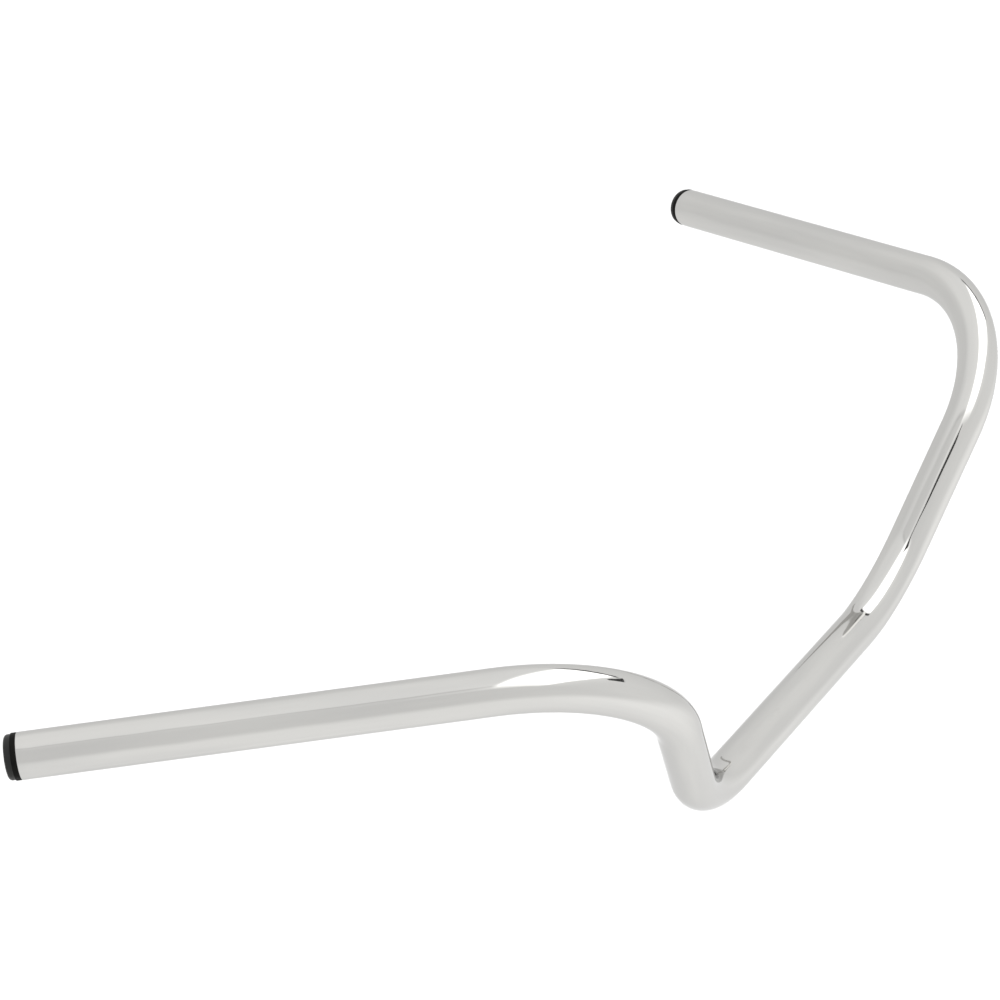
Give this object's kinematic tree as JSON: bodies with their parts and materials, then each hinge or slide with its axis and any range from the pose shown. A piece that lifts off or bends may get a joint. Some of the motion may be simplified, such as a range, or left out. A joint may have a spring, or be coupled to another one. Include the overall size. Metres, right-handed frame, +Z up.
{
  "type": "motorcycle handlebar",
  "caption": "Bent steel tube handlebar with a straight clamp section, rising legs, swept-back grips and a push-in plug in each end.",
  "frame": {"origin": "middle of the straight clamp section, on the tube's centre line", "axes": "+X towards the rider's right along the clamp section, +Y forwards, +Z up, with the bar turned in its clamps as it is ridden"},
  "size_m": [0.8808, 0.3055, 0.1725],
  "materials": {
    "chromed_steel": "polished chrome plate",
    "plug_plastic": "moulded black plastic"
  },
  "bodies": {
    "root": {"bar_tube": "chromed_steel", "end_plug_right": "plug_plastic", "end_plug_left": "plug_plastic"}
  },
  "joints": []
}
